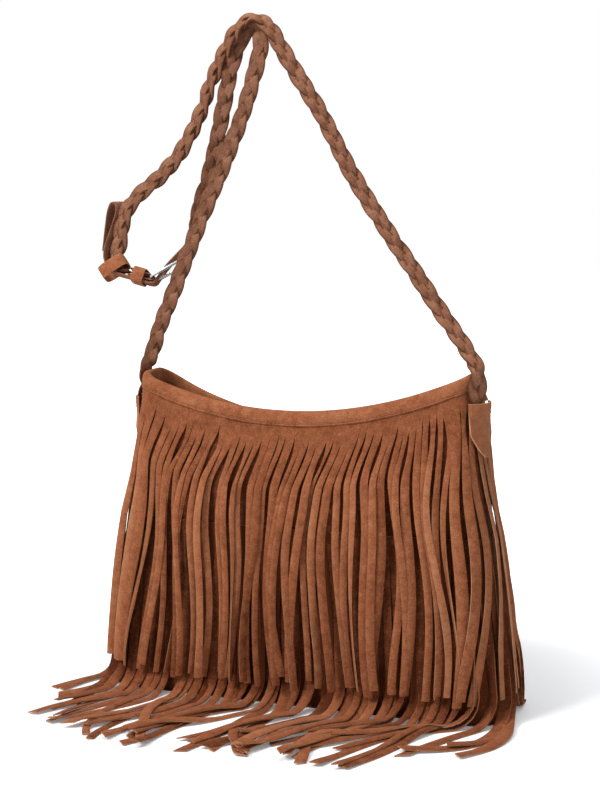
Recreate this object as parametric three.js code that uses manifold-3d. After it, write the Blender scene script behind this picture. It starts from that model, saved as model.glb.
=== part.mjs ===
// A fringed suede shoulder bag with a plaited, buckled strap.
// Millimetres, +Z up, X along the mouth, the front faces -Y.
// The origin is the middle of the underside of the base, on the floor.
import * as THREE from 'three';
import { mergeVertices } from 'three/addons/utils/BufferGeometryUtils.js';
import Module from 'manifold-3d';

// Overall sizes of the body
const MOUTH_WIDTH = 300;
const MOUTH_DEPTH = 50;
const MOUTH_CORNER = 15;
const BASE_WIDTH = 366;
const BASE_DEPTH = 80;
const BASE_CORNER = 30;
const END_HEIGHT = 284;
const RIGHT_END_RISE = 10;
const FRONT_RIM_SAG = 32;
const BACK_RIM_SAG = 48;
const BELLY = 10;

// Sheet thicknesses and the gaps between pieces
const PANEL_SUEDE = 1.6;
const FRINGE_SUEDE = 1.2;
const LINING_CLOTH = 0.8;
const GAP = 0.3;
const LAYER_GAP = 1;
const UPPER_STANDOFF = 4.4;
const LINING_GAP = 1.7;

// Rim binding, a strip folded over the mouth's edge
const BINDING_DROP = 12;
const BINDING_SUEDE = 1.6;
const BINDING_GAP = 0.9;

// Fringe panels
const STRIP_PITCH = 7.4;
const SLIT = 0.7;
const UPPER_YOKE = 20;
const UPPER_HEM_HEIGHT = 27;
const LOWER_SEAM_HEIGHT = 158;
const LOWER_YOKE = 12;
const FLOOR_BEND = 24;
const FLOOR_TRAIL = 104;
const END_TRAIL_ANGLE_LEFT = 226;
const MIDDLE_TRAIL_ANGLE = 250;
const END_TRAIL_ANGLE_RIGHT = 284;
const BEND_OUTWARD_SHARE = 0.5;
const STRIP_LAP = 5;
const STANDOFF_RUN = 24;

// Pointed tabs that hold the strap's ends
const TAB_WIDTH = 26;
const TAB_HEIGHT = 46;
const TAB_POINT = 20;
const TAB_SUEDE = 2.4;
const LEFT_TAB_TOP = END_HEIGHT - 22;
const RIGHT_TAB_TOP = END_HEIGHT - 12;
const RIGHT_TAB_SHIFT = -20;
const LEFT_TAB_SHIFT = 0;

// Facets that the curved wall is made of
const FRONT_FACETS = 4;
const CORNER_FACETS = 3;
const WALL_ROWS = 6;
const WELD_DISTANCE = 1e-4;

// Plaited strap
const PLAIT_WIDTH = 14.5;
const PLAIT_THICKNESS = 7;
const PLAIT_SIDES = 8;
const PLAIT_STEPS = 38;
const PLAIT_CLEARANCE = 1;
const TAB_MOUTH_GAP = 0.6;

// Buckle on the long plait's end, laid out along the strap's run with its outer face on +Z
const HEEL_PLACE = new THREE.Vector3(-153.5, 10, END_HEIGHT + 82);
const STRAP_RUN = new THREE.Vector3(0.95, 0.1, -0.25);
const OUTER_FACE = new THREE.Vector3(-0.2, -0.35, -0.91);
const FRAME_TILT = 45;
const FRAME_REACH = 30;
const FRAME_CLEARANCE = 1.2;
const WIRE = 3;
const WIRE_SIDES = 12;
const PRONG_WIRE = 2.2;
const PRONG_EYE_WALL = 1.3;
const PRONG_EYE_WIDTH = 3;
const PRONG_OVERHANG = 2.5;
const FOLD_LENGTH = 22;
const FOLD_SUEDE = 1.6;
const TONGUE_WIDTH = 14;
const TONGUE_SUEDE = 1.8;
const TONGUE_RISE = 4.8;
const PRONG_SLOT_FROM = -4.5;
const PRONG_SLOT_TO = 9;
const PRONG_SLOT_CLEARANCE = 0.7;
const PRONG_SLOT_DEPTH = 20;
const KEEPER_LENGTH = 8;
const KEEPER_SUEDE = 1.4;
const FIXED_KEEPER_PLACE = -12;
const LOOSE_KEEPER_PLACE = -27.5;
const TONGUE_STEPS = 44;

const SUEDE = { color: 0x96583a, roughness: 0.95, metalness: 0 };
const LINING_TWILL = { color: 0x5a3a28, roughness: 0.8, metalness: 0 };
const STEEL = { color: 0xc8c8c6, roughness: 0.25, metalness: 1 };

const wasm = await Module();
wasm.setup();

const bag = new THREE.Group();
const up = new THREE.Vector3(0, 0, 1);

function place(name, geometry, finish = SUEDE, parent = bag) {
  const mesh = new THREE.Mesh(geometry, new THREE.MeshStandardMaterial(finish));
  mesh.name = name;
  parent.add(mesh);
}

function toSolid(geometry) {
  const bare = geometry.clone();
  bare.deleteAttribute('normal');
  bare.deleteAttribute('uv');
  const merged = mergeVertices(bare, WELD_DISTANCE);
  return new wasm.Manifold(new wasm.Mesh({
    numProp: 3,
    vertProperties: new Float32Array(merged.attributes.position.array),
    triVerts: new Uint32Array(merged.index.array),
  }));
}

function toGeometry(solid) {
  const mesh = solid.getMesh();
  const geometry = new THREE.BufferGeometry();
  geometry.setAttribute('position', new THREE.BufferAttribute(mesh.vertProperties, 3));
  geometry.setIndex(new THREE.BufferAttribute(mesh.triVerts, 1));
  return geometry;
}

// A closed skin over rows of points: each row is a loop, and the two end loops are capped by a fan.
function loftLoops(loops) {
  const count = loops[0].length;
  const positions = loops.flat().flatMap((point) => [point.x, point.y, point.z]);
  const index = [];
  for (let row = 0; row + 1 < loops.length; row += 1) {
    for (let i = 0; i < count; i += 1) {
      const a = row * count + i;
      const b = row * count + ((i + 1) % count);
      index.push(a, b, b + count, a, b + count, a + count);
    }
  }
  const last = (loops.length - 1) * count;
  for (let i = 1; i + 1 < count; i += 1) {
    index.push(0, i + 1, i);
    index.push(last, last + i, last + i + 1);
  }
  const geometry = new THREE.BufferGeometry();
  geometry.setAttribute('position', new THREE.Float32BufferAttribute(positions, 3));
  geometry.setIndex(index);
  return geometry;
}

// A strip of constant outline carried along stations that each give a place, a side and a normal.
function sweep(stations, outline) {
  return loftLoops(stations.map(({ at, side, normal }) => outline.map(({ x, y }) => (
    at.clone().addScaledVector(side, x).addScaledVector(normal, y)
  ))));
}

const mix = THREE.MathUtils.lerp;

function sizesAt(z) {
  const t = THREE.MathUtils.clamp(z / END_HEIGHT, 0, 1);
  return {
    width: mix(BASE_WIDTH, MOUTH_WIDTH, t),
    depth: mix(BASE_DEPTH, MOUTH_DEPTH, t),
    corner: mix(BASE_CORNER, MOUTH_CORNER, t),
    belly: BELLY * Math.sin(Math.PI * t),
  };
}

// Girth measure: millimetres along the body at half height, 0 at the middle of the front, + to the right.
const HALF = sizesAt(END_HEIGHT / 2);
const FRONT_RUN = HALF.width / 2 - HALF.corner;
const CORNER_RUN = (Math.PI / 2) * HALF.corner;
const END_RUN = HALF.depth - 2 * HALF.corner;
const END_SEAM = FRONT_RUN + CORNER_RUN + END_RUN / 2;
const HALF_GIRTH = 2 * END_SEAM;

// A point of the body's wall at a girth and height, moved outwards from the outer face.
function wallPoint(girth, z, outwards) {
  const size = sizesAt(z);
  const halfWidth = size.width / 2 + outwards;
  const halfDepth = size.depth / 2 + outwards;
  const corner = size.corner + outwards;
  const wrapped = girth > HALF_GIRTH ? girth - 2 * HALF_GIRTH : girth;
  const run = Math.abs(wrapped);
  const hand = Math.sign(wrapped) || 1;
  const flat = halfWidth - corner;
  const endStart = FRONT_RUN + CORNER_RUN;
  let x;
  let y;
  if (run <= FRONT_RUN) {
    const u = run / FRONT_RUN;
    x = u * flat;
    y = -halfDepth - size.belly * (1 - u * u);
  } else if (run <= endStart) {
    const angle = ((run - FRONT_RUN) / CORNER_RUN) * (Math.PI / 2);
    x = flat + corner * Math.sin(angle);
    y = -halfDepth + corner * (1 - Math.cos(angle));
  } else if (run <= endStart + END_RUN) {
    x = halfWidth;
    y = mix(-halfDepth + corner, halfDepth - corner, (run - endStart) / END_RUN);
  } else if (run <= endStart + END_RUN + CORNER_RUN) {
    const angle = ((run - endStart - END_RUN) / CORNER_RUN) * (Math.PI / 2);
    x = flat + corner * Math.cos(angle);
    y = halfDepth - corner * (1 - Math.sin(angle));
  } else {
    const u = Math.max(0, 1 - (run - endStart - END_RUN - CORNER_RUN) / FRONT_RUN);
    x = u * flat;
    y = halfDepth + size.belly * (1 - u * u);
  }
  return new THREE.Vector3(hand * x, y, z);
}

// Height of the mouth's edge: high at the two ends, the right one most, and sagging between them.
function rimHeight(girth) {
  const point = wallPoint(girth, END_HEIGHT, 0);
  const u = Math.min(1, Math.abs(point.x) / (MOUTH_WIDTH / 2));
  const sag = point.y < 0 ? FRONT_RIM_SAG : BACK_RIM_SAG;
  const rise = RIGHT_END_RISE * (0.5 + point.x / MOUTH_WIDTH);
  return END_HEIGHT + rise - sag * (1 - u * u);
}

// Girths at which the wall is cut into facets, shared by all its layers.
function girthStops(from, to) {
  const quarter = [];
  for (let i = 0; i <= FRONT_FACETS; i += 1) {
    quarter.push((FRONT_RUN * i) / FRONT_FACETS);
  }
  for (let i = 1; i <= CORNER_FACETS; i += 1) {
    quarter.push(FRONT_RUN + (CORNER_RUN * i) / CORNER_FACETS);
  }
  const half = [...quarter, END_SEAM, ...quarter.map((girth) => HALF_GIRTH - girth)];
  const stops = new Set();
  for (const turn of [-2 * HALF_GIRTH, 0, 2 * HALF_GIRTH]) {
    half.forEach((girth) => stops.add(turn + girth).add(turn - girth));
  }
  const inside = [...stops].filter((girth) => girth > from + GAP && girth < to - GAP);
  inside.sort((a, b) => a - b);
  const distinct = inside.filter((girth, i) => i === 0 || girth - inside[i - 1] > GAP);
  return [from, ...distinct, to];
}

// A closed piece of wall between two girths, two heights and two distances from the outer face.
function wallPatch({ from, to, bottom, top, inner, outer, rows = WALL_ROWS }) {
  const loops = girthStops(from, to).map((girth) => {
    const low = bottom(girth);
    const high = top(girth);
    const heights = Array.from({ length: rows + 1 }, (_, i) => mix(low, high, i / rows));
    const outside = heights.map((z) => wallPoint(girth, z, outer(z))).reverse();
    const inside = heights.map((z) => wallPoint(girth, z, inner(z)));
    return [...outside, ...inside];
  });
  return loftLoops(loops);
}

// A ring of the wall that closes on itself, made of two half rings.
function wallRing(settings) {
  const half = (from, to) => toSolid(wallPatch({ ...settings, from, to }));
  return half(-END_SEAM, END_SEAM).add(half(END_SEAM, 2 * HALF_GIRTH - END_SEAM));
}

// Front and back panels meet at the seams in the middle of the bag's two ends.
const panelBottom = () => PANEL_SUEDE + GAP;
const FRONT_HALF = { from: -END_SEAM + GAP / 2, to: END_SEAM - GAP / 2 };
const BACK_HALF = { from: END_SEAM + GAP / 2, to: 2 * HALF_GIRTH - END_SEAM - GAP / 2 };
const panel = {
  bottom: panelBottom,
  top: rimHeight,
  inner: () => -PANEL_SUEDE,
  outer: () => 0,
};
place('front_panel', wallPatch({ ...panel, ...FRONT_HALF }));
place('back_panel', wallPatch({ ...panel, ...BACK_HALF }));

// Base: a flat sheet with the outline of the wall's foot.
const baseOutline = girthStops(-HALF_GIRTH, HALF_GIRTH).slice(0, -1).map((girth) => wallPoint(girth, 0, 0));
const baseShape = new THREE.Shape(baseOutline.map((point) => new THREE.Vector2(point.x, point.y)));
place('base_panel', new THREE.ExtrudeGeometry(baseShape, { depth: PANEL_SUEDE, bevelEnabled: false }));

// Lining: an open cloth cup inside the panels, hung from the binding's inner leg.
const liningFace = -PANEL_SUEDE - LINING_GAP;
const liningFloor = PANEL_SUEDE + GAP;
const liningWall = wallRing({
  bottom: () => liningFloor,
  top: (girth) => rimHeight(girth) - BINDING_DROP - GAP,
  inner: () => liningFace - LINING_CLOTH,
  outer: () => liningFace,
});
const liningOutline = girthStops(-HALF_GIRTH, HALF_GIRTH).slice(0, -1)
  .map((girth) => wallPoint(girth, liningFloor, liningFace - LINING_CLOTH / 2));
const liningShape = new THREE.Shape(liningOutline.map((point) => new THREE.Vector2(point.x, point.y)));
const liningBase = new THREE.ExtrudeGeometry(liningShape, { depth: LINING_CLOTH, bevelEnabled: false });
liningBase.translate(0, 0, liningFloor);
place('lining', toGeometry(liningWall.add(toSolid(liningBase))), LINING_TWILL);

// Rim binding: a channel over the mouth's edge, outer leg, fold and inner leg in one strip.
const bindingFoot = (girth) => rimHeight(girth) - BINDING_DROP;
const bindingBlock = wallRing({
  bottom: bindingFoot,
  top: (girth) => rimHeight(girth) + BINDING_GAP + BINDING_SUEDE,
  inner: () => -PANEL_SUEDE - BINDING_GAP - BINDING_SUEDE,
  outer: () => BINDING_GAP + BINDING_SUEDE,
  rows: 2,
});
const bindingGroove = wallRing({
  bottom: (girth) => bindingFoot(girth) - BINDING_GAP,
  top: (girth) => rimHeight(girth) + BINDING_GAP,
  inner: () => -PANEL_SUEDE - BINDING_GAP,
  outer: () => BINDING_GAP,
  rows: 2,
});
place('rim_binding', toGeometry(bindingBlock.subtract(bindingGroove)));

// Fringe: strips of one panel, joined by its uncut yoke.
const STRIP_WIDTH = STRIP_PITCH - SLIT;
const stripOutline = [
  new THREE.Vector2(-STRIP_WIDTH / 2, 0),
  new THREE.Vector2(STRIP_WIDTH / 2, 0),
  new THREE.Vector2(STRIP_WIDTH / 2, FRINGE_SUEDE),
  new THREE.Vector2(-STRIP_WIDTH / 2, FRINGE_SUEDE),
];

function stripGirths(from, to) {
  const count = Math.floor((to - from) / STRIP_PITCH);
  const margin = (to - from - count * STRIP_PITCH) / 2;
  return Array.from({ length: count }, (_, i) => from + margin + (i + 0.5) * STRIP_PITCH);
}

// A station of a strip that hangs against the wall.
function hangingStation(girth, z, outwards) {
  const at = wallPoint(girth, z, outwards);
  const side = wallPoint(girth + 1, z, outwards).sub(wallPoint(girth - 1, z, outwards)).normalize();
  return { at, side, normal: side.clone().cross(up).normalize() };
}

// The upper strips lie close to the wall at the yoke and stand over the lower panel's yoke below.
const standoffTop = LOWER_SEAM_HEIGHT + LOWER_YOKE;
const closeness = (z) => THREE.MathUtils.smoothstep(z, standoffTop, standoffTop + STANDOFF_RUN);
const upperOut = (z) => mix(UPPER_STANDOFF, LAYER_GAP, closeness(z));
const yokeTop = (girth) => bindingFoot(girth) - GAP;
const yokeFoot = (girth) => yokeTop(girth) - UPPER_YOKE;

function upperFringe({ from, to }) {
  let solid = toSolid(wallPatch({
    from,
    to,
    bottom: yokeFoot,
    top: yokeTop,
    inner: upperOut,
    outer: (z) => upperOut(z) + FRINGE_SUEDE,
    rows: 2,
  }));
  for (const girth of stripGirths(from, to)) {
    const head = yokeFoot(girth) + STRIP_LAP;
    const heights = [head, standoffTop, LOWER_SEAM_HEIGHT / 2, UPPER_HEM_HEIGHT];
    const stations = heights.map((z) => hangingStation(girth, z, upperOut(z)));
    solid = solid.add(toSolid(sweep(stations, stripOutline)));
  }
  return toGeometry(solid);
}

// The direction in which a strip trails on the floor, from one end seam to the other.
function trailDirection(girth, mirror) {
  const share = THREE.MathUtils.clamp(girth / END_SEAM, -1, 1);
  const end = share < 0 ? END_TRAIL_ANGLE_LEFT : END_TRAIL_ANGLE_RIGHT;
  const angle = THREE.MathUtils.degToRad(mix(MIDDLE_TRAIL_ANGLE, end, share * share));
  return new THREE.Vector3(Math.cos(angle), mirror * Math.sin(angle), 0);
}

// The lower strips hang to the floor, bend away from the wall and trail.
function lowerStations(girth, hangGirth, mirror) {
  const heights = [LOWER_SEAM_HEIGHT - LOWER_YOKE + STRIP_LAP, LOWER_SEAM_HEIGHT / 2, FLOOR_BEND];
  const hanging = heights.map((z) => hangingStation(girth, z, LAYER_GAP));
  const foot = hanging[hanging.length - 1];
  const trail = trailDirection(hangGirth, mirror);
  const across = trail.clone().cross(up).multiplyScalar(-mirror);
  const lying = across.dot(foot.side) < 0 ? across.clone().negate() : across;
  const bend = [0.5, 1].map((share) => {
    const angle = share * (Math.PI / 2);
    const at = foot.at.clone();
    const reach = FLOOR_BEND * (1 - Math.cos(angle));
    at.addScaledVector(foot.normal, reach * BEND_OUTWARD_SHARE);
    at.addScaledVector(trail, reach * (1 - BEND_OUTWARD_SHARE));
    at.z = Math.max(0, FLOOR_BEND * (1 - Math.sin(angle)));
    const side = foot.side.clone().lerp(lying, share).normalize();
    const normal = foot.normal.clone().multiplyScalar(Math.cos(angle)).addScaledVector(up, Math.sin(angle));
    return { at, side, normal: normal.normalize() };
  });
  const tip = bend[bend.length - 1].at.clone().addScaledVector(trail, FLOOR_TRAIL);
  return [...hanging, ...bend, { at: tip, side: lying, normal: up }];
}

function lowerFringe({ from, to }, mirror) {
  let solid = toSolid(wallPatch({
    from,
    to,
    bottom: () => LOWER_SEAM_HEIGHT - LOWER_YOKE,
    top: () => LOWER_SEAM_HEIGHT,
    inner: () => LAYER_GAP,
    outer: () => LAYER_GAP + FRINGE_SUEDE,
    rows: 1,
  }));
  for (const girth of stripGirths(from, to)) {
    const mirrored = mirror > 0 ? girth : HALF_GIRTH - girth;
    solid = solid.add(toSolid(sweep(lowerStations(girth, mirrored, mirror), stripOutline)));
  }
  return toGeometry(solid);
}

place('front_upper_fringe', upperFringe(FRONT_HALF));
place('back_upper_fringe', upperFringe(BACK_HALF));
place('front_lower_fringe', lowerFringe(FRONT_HALF, 1));
place('back_lower_fringe', lowerFringe(BACK_HALF, -1));

// Strap tabs: pointed patches on the outside of the yoke at the two ends.
const rightTab = END_SEAM + RIGHT_TAB_SHIFT;
const leftTab = -END_SEAM + LEFT_TAB_SHIFT;

function tab(girth, top) {
  const out = upperOut(top) + FRINGE_SUEDE + GAP + BINDING_SUEDE;
  const station = hangingStation(girth, top - TAB_HEIGHT / 2, out);
  const lean = hangingStation(girth, top, out).at.clone()
    .sub(hangingStation(girth, top - TAB_HEIGHT, out).at).normalize();
  const shape = new THREE.Shape([
    new THREE.Vector2(-TAB_WIDTH / 2, TAB_HEIGHT / 2),
    new THREE.Vector2(-TAB_WIDTH / 2, TAB_POINT - TAB_HEIGHT / 2),
    new THREE.Vector2(0, -TAB_HEIGHT / 2),
    new THREE.Vector2(TAB_WIDTH / 2, TAB_POINT - TAB_HEIGHT / 2),
    new THREE.Vector2(TAB_WIDTH / 2, TAB_HEIGHT / 2),
  ]);
  const geometry = new THREE.ExtrudeGeometry(shape, { depth: TAB_SUEDE, bevelEnabled: false });
  const normal = station.side.clone().cross(lean).normalize();
  geometry.applyMatrix4(new THREE.Matrix4().makeBasis(station.side, lean, normal));
  return geometry.translate(station.at.x, station.at.y, station.at.z);
}
place('right_strap_tab', tab(rightTab, RIGHT_TAB_TOP));
place('left_strap_tab', tab(leftTab, LEFT_TAB_TOP));

// Buckle group: at the heel bar X is along the strap's run, Y along the bar and Z to the outer face.
const run = STRAP_RUN.clone().normalize();
const bar = OUTER_FACE.clone().cross(run).normalize();
const outerFace = run.clone().cross(bar).normalize();
const buckle = new THREE.Group();
buckle.applyMatrix4(new THREE.Matrix4().makeBasis(run, bar, outerFace).setPosition(HEEL_PLACE));
bag.add(buckle);
const strapPoint = (along, out) => (
  HEEL_PLACE.clone().addScaledVector(run, along).addScaledVector(outerFace, out)
);

// The tongue's way from the short plait's end, past the outer bar, over the heel, under the keepers, then
// turned back on itself. Each point gives the distance along the run and towards the outer face.
const TONGUE_ROUTE = [
  [20, -36], [15, -26], [10.3, -16], [7.5, -9], [5.4, -1.5], [3.4, 3.8], [-1.5, 5.2], [-9, TONGUE_RISE],
  [-22, TONGUE_RISE], [-34, TONGUE_RISE], [-42, 3.4], [-48.6, -3], [-50.4, -12], [-50.6, -24], [-51.5, -38],
  [-53, -52], [-56.5, -59], [-62, -59.5], [-66, -53], [-67, -40], [-67, -24],
];

// Plaits: soft flat cords along routes chosen by hand, with the way their flat face looks on the way.
// The hanging parts are counted from the mouth's ends.
// Each starts in the mouth of its tab. The long one ends at the buckle's fold, the short one at the tongue.
const plaitOut = BINDING_GAP + BINDING_SUEDE + PLAIT_THICKNESS / 2 + PLAIT_CLEARANCE;
const tabMouth = (girth, top, rise) => wallPoint(girth, top + TAB_MOUTH_GAP + rise, plaitOut);
const foldEnd = -FOLD_LENGTH - GAP;
const [tongueAlong, tongueOut] = TONGUE_ROUTE[0];
const rightEnd = MOUTH_WIDTH / 2;
const leftEnd = -MOUTH_WIDTH / 2;
const aboveEnd = ([x, y, rise]) => [x, y, END_HEIGHT + rise];
const LONG_HANG = [
  [rightEnd - 3, -12, 25], [rightEnd - 31.5, -4, 62], [81.5, -1, 112], [36.5, 0, 179], [9.5, 0, 228],
  [-9.5, 0, 257], [-26.5, 0, 284], [-37.5, 0, 300], [-50.5, 1, 308], [-64.5, 3, 303], [-76.5, 6, 289],
  [-93.5, 10, 259], [-109, 14, 225], [-127, 17, 197], [-151, 19, 172], [-168.5, 18, 158],
  [-180.5, 16, 144], [-186, 14, 126], [-188, 12, 110], [-189.5, 9, 101], [-188.5, 7, 95],
  [-185.8, 6.6, 90.5],
];
const LONG_ROUTE = [
  tabMouth(rightTab, RIGHT_TAB_TOP, 0), tabMouth(rightTab, RIGHT_TAB_TOP, 12),
  tabMouth(rightTab, RIGHT_TAB_TOP, 25), ...LONG_HANG.map(aboveEnd),
  strapPoint(foldEnd - 5.5, 0), strapPoint(foldEnd, 0),
];
const LONG_FACES = [
  [0, [0.9, -0.43, 0]], [0.08, [0.9, -0.43, 0]], [0.2, [0.3, -0.95, 0]], [0.35, [0.25, -0.9, 0.3]],
  [0.42, [0, -0.6, 0.8]], [0.5, [-0.3, -0.9, 0.2]], [0.66, [-0.2, -0.95, 0]], [0.73, [-0.6, -0.8, 0]],
  [0.8, [-0.95, -0.3, 0]], [0.9, [-0.2, -0.35, -0.91]], [1, [-0.2, -0.35, -0.91]],
];
const SHORT_HANG = [
  [leftEnd + 1, -2, 18], [leftEnd + 11, -5, 44], [leftEnd + 27, -8, 76], [-107, -10, 114],
  [-91.5, -10, 149], [-73, -9, 190], [-57.5, -7, 230], [-50, -5, 256], [-46, -3, 273], [-50, -1, 285],
  [-59.5, 2, 286], [-69.5, 5, 274], [-76, 6, 256], [-82.5, 8, 231], [-91, 10, 201], [-101.5, 13, 166],
  [-111, 20, 146], [-117, 26, 130], [-118.6, 29.6, 119.6],
];
const SHORT_ROUTE = [
  tabMouth(leftTab, LEFT_TAB_TOP, 0), tabMouth(leftTab, LEFT_TAB_TOP, 22), ...SHORT_HANG.map(aboveEnd),
  strapPoint(tongueAlong + GAP, tongueOut - GAP),
];
const SHORT_FACES = [
  [0, [-1, 0, 0]], [0.06, [-1, 0, 0]], [0.2, [-0.3, 0.95, 0]], [0.44, [-0.3, 0.95, 0]],
  [0.55, [0, 0.8, 0.6]], [0.66, [-0.3, 0.95, 0]], [0.85, [-0.5, 0.8, 0]], [1, [-0.77, 0.07, 0.63]],
];

// The flat face's direction at a share of the route, mixed between the listed ones.
function faceAt(faces, share) {
  const next = Math.max(1, faces.findIndex(([spot]) => spot >= share));
  const [from, before] = faces[next - 1];
  const [to, after] = faces[next];
  const t = THREE.MathUtils.smoothstep(share, from, to);
  return new THREE.Vector3(...before).lerp(new THREE.Vector3(...after), t).normalize();
}

function plait(route, faces) {
  const curve = new THREE.CatmullRomCurve3(route.map((point) => new THREE.Vector3(...point)));
  const outline = Array.from({ length: PLAIT_SIDES }, (_, i) => {
    const angle = ((i + 0.5) / PLAIT_SIDES) * 2 * Math.PI;
    return new THREE.Vector2((PLAIT_WIDTH / 2) * Math.cos(angle), (PLAIT_THICKNESS / 2) * Math.sin(angle));
  });
  const stations = Array.from({ length: PLAIT_STEPS + 1 }, (_, i) => {
    const share = i / PLAIT_STEPS;
    const along = curve.getTangent(share);
    const side = faceAt(faces, share).cross(along).normalize();
    return { at: curve.getPoint(share), side, normal: along.clone().cross(side).normalize() };
  });
  return sweep(stations, outline);
}
place('long_plait', plait(LONG_ROUTE, LONG_FACES));
place('short_plait', plait(SHORT_ROUTE, SHORT_FACES));

const frameGroup = new THREE.Group();
frameGroup.rotation.y = THREE.MathUtils.degToRad(FRAME_TILT);
buckle.add(frameGroup);

function rod(from, to, thickness) {
  const length = from.distanceTo(to);
  const geometry = new THREE.CylinderGeometry(thickness / 2, thickness / 2, length, WIRE_SIDES);
  const turn = new THREE.Quaternion().setFromUnitVectors(
    new THREE.Vector3(0, 1, 0),
    to.clone().sub(from).normalize(),
  );
  const middle = from.clone().add(to).multiplyScalar(0.5);
  geometry.applyQuaternion(turn);
  return toSolid(geometry.translate(middle.x, middle.y, middle.z));
}

// Frame: four wires with round corners.
const frameHalf = TONGUE_WIDTH / 2 + FRAME_CLEARANCE + WIRE / 2;
const frameCorners = [[0, -1], [FRAME_REACH, -1], [FRAME_REACH, 1], [0, 1]]
  .map(([reach, hand]) => new THREE.Vector3(reach, hand * frameHalf, 0));
let frame = null;
frameCorners.forEach((corner, i) => {
  const wire = rod(corner, frameCorners[(i + 1) % frameCorners.length], WIRE);
  const ball = new THREE.SphereGeometry(WIRE / 2, WIRE_SIDES, WIRE_SIDES / 2);
  const knuckle = toSolid(ball.translate(corner.x, corner.y, corner.z));
  frame = frame ? frame.add(wire).add(knuckle) : wire.add(knuckle);
});
place('buckle_frame', toGeometry(frame), STEEL, frameGroup);

// Prong: an eye on the heel bar and a straight wire whose tip lies over the outer bar.
const eyeBore = WIRE / 2 + GAP;
const eyeShape = new THREE.Shape().absarc(0, 0, eyeBore + PRONG_EYE_WALL, 0, 2 * Math.PI);
eyeShape.holes.push(new THREE.Path().absarc(0, 0, eyeBore, 0, 2 * Math.PI));
const eye = new THREE.ExtrudeGeometry(eyeShape, {
  depth: PRONG_EYE_WIDTH,
  bevelEnabled: false,
  curveSegments: WIRE_SIDES / 2,
});
eye.translate(0, 0, -PRONG_EYE_WIDTH / 2).rotateX(Math.PI / 2);
const prongLift = eyeBore + PRONG_WIRE / 2;
const prongWire = rod(
  new THREE.Vector3(0, 0, prongLift),
  new THREE.Vector3(FRAME_REACH + WIRE / 2 + PRONG_OVERHANG, 0, prongLift),
  PRONG_WIRE,
);
place('buckle_prong', toGeometry(toSolid(eye).add(prongWire)), STEEL, frameGroup);

// Fold: the long plait's plain end, wrapped round the heel bar and slotted for the prong.
const foldInner = WIRE / 2 + GAP;
const foldOuter = foldInner + FOLD_SUEDE;
const foldShape = new THREE.Shape();
foldShape.moveTo(-FOLD_LENGTH, -foldOuter);
foldShape.lineTo(0, -foldOuter);
foldShape.absarc(0, 0, foldOuter, -Math.PI / 2, Math.PI / 2);
foldShape.lineTo(-FOLD_LENGTH, foldOuter);
foldShape.lineTo(-FOLD_LENGTH, foldInner);
foldShape.lineTo(0, foldInner);
foldShape.absarc(0, 0, foldInner, Math.PI / 2, -Math.PI / 2, true);
foldShape.lineTo(-FOLD_LENGTH, -foldInner);
const fold = new THREE.ExtrudeGeometry(foldShape, {
  depth: TONGUE_WIDTH,
  bevelEnabled: false,
  curveSegments: WIRE_SIDES / 2,
});
fold.translate(0, 0, -TONGUE_WIDTH / 2).rotateX(Math.PI / 2);
const slotWidth = PRONG_EYE_WIDTH + PRONG_SLOT_CLEARANCE;
const slot = new THREE.BoxGeometry(PRONG_SLOT_TO - PRONG_SLOT_FROM, slotWidth, PRONG_SLOT_DEPTH);
slot.translate((PRONG_SLOT_TO + PRONG_SLOT_FROM) / 2, 0, 0);
place('buckle_fold', toGeometry(toSolid(fold).subtract(toSolid(slot))), SUEDE, buckle);

// Tongue: one plain strip along its route, slotted for the prong.
const tongueCurve = new THREE.CatmullRomCurve3(TONGUE_ROUTE.map(([x, z]) => new THREE.Vector3(x, 0, z)));
const tongueOutline = [[-1, -1], [1, -1], [1, 1], [-1, 1]].map(([side, face]) => (
  new THREE.Vector2((side * TONGUE_WIDTH) / 2, (face * TONGUE_SUEDE) / 2)
));
const tongueStations = Array.from({ length: TONGUE_STEPS + 1 }, (_, i) => {
  const along = tongueCurve.getTangentAt(i / TONGUE_STEPS);
  const side = new THREE.Vector3(0, 1, 0);
  return { at: tongueCurve.getPointAt(i / TONGUE_STEPS), side, normal: along.clone().cross(side) };
});
const tongue = toSolid(sweep(tongueStations, tongueOutline)).subtract(toSolid(slot));
place('tongue_strap', toGeometry(tongue), SUEDE, buckle);

// Keepers: loops round the strap and the tongue that lies on it.
const keeperLow = -PLAIT_THICKNESS / 2 - GAP;
const keeperHigh = TONGUE_RISE + TONGUE_SUEDE / 2 + GAP;
const keeperHalf = Math.max(PLAIT_WIDTH, TONGUE_WIDTH) / 2 + GAP;

function loopOutline(grow) {
  return [[-1, keeperLow - grow], [1, keeperLow - grow], [1, keeperHigh + grow], [-1, keeperHigh + grow]]
    .map(([hand, z]) => new THREE.Vector2(hand * (keeperHalf + grow), z));
}

function keeper(placeAlong) {
  const shape = new THREE.Shape(loopOutline(KEEPER_SUEDE));
  shape.holes.push(new THREE.Path(loopOutline(0)));
  const geometry = new THREE.ExtrudeGeometry(shape, { depth: KEEPER_LENGTH, bevelEnabled: false });
  const axes = new THREE.Matrix4().makeBasis(
    new THREE.Vector3(0, 1, 0),
    new THREE.Vector3(0, 0, 1),
    new THREE.Vector3(1, 0, 0),
  );
  geometry.applyMatrix4(axes);
  return geometry.translate(placeAlong - KEEPER_LENGTH / 2, 0, 0);
}
place('fixed_keeper', keeper(FIXED_KEEPER_PLACE), SUEDE, buckle);
place('loose_keeper', keeper(LOOSE_KEEPER_PLACE), SUEDE, buckle);

export default bag;
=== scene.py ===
import bpy
import bmesh
import math
import numpy as np
from mathutils import Matrix, Vector


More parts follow.
